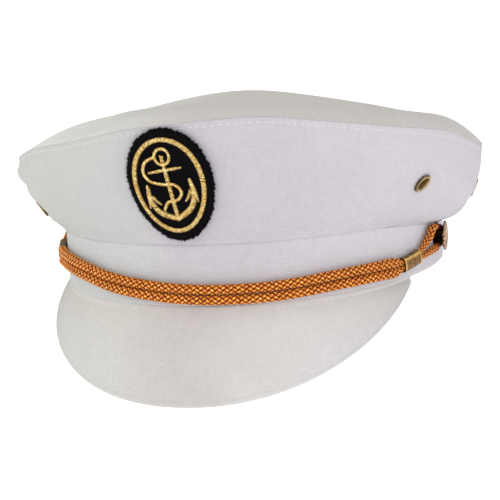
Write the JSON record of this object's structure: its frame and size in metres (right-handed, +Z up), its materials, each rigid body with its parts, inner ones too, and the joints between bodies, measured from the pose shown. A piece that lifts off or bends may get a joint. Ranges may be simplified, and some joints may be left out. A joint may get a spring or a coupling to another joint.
{
  "type": "peaked cap",
  "caption": "White cotton peaked cap with a soft full top, sloping peak, gold chin cord on brass buttons and sliders, vent eyelets and an anchor badge.",
  "frame": {"origin": "middle of the bounding box's base, on the surface that the cap rests on", "axes": "+Y from the forehead to the back of the head, +X to the wearer's left, +Z up; the cap rests on its peak's front edge and the back of its rim, pitched back about ten degrees"},
  "size_m": [0.2128, 0.2518, 0.111],
  "materials": {
    "cotton": "plain woven cotton, matte",
    "felt": "black wool felt",
    "gold_thread": "satin-stitched gold thread",
    "cord": "round braid of orange-gold yarn",
    "brass": "antique brass"
  },
  "bodies": {
    "root": {"crown_top": "cotton", "crown_side": "cotton", "band": "cotton", "peak": "cotton", "chin_cord": "cord", "slider_right": "brass", "slider_left": "brass", "button_right": "brass", "button_left": "brass", "eyelet_left_front": "brass", "eyelet_left_rear": "brass", "eyelet_right_front": "brass", "eyelet_right_rear": "brass", "badge_felt": "felt", "badge_border": "gold_thread", "badge_anchor": "gold_thread"}
  },
  "joints": []
}
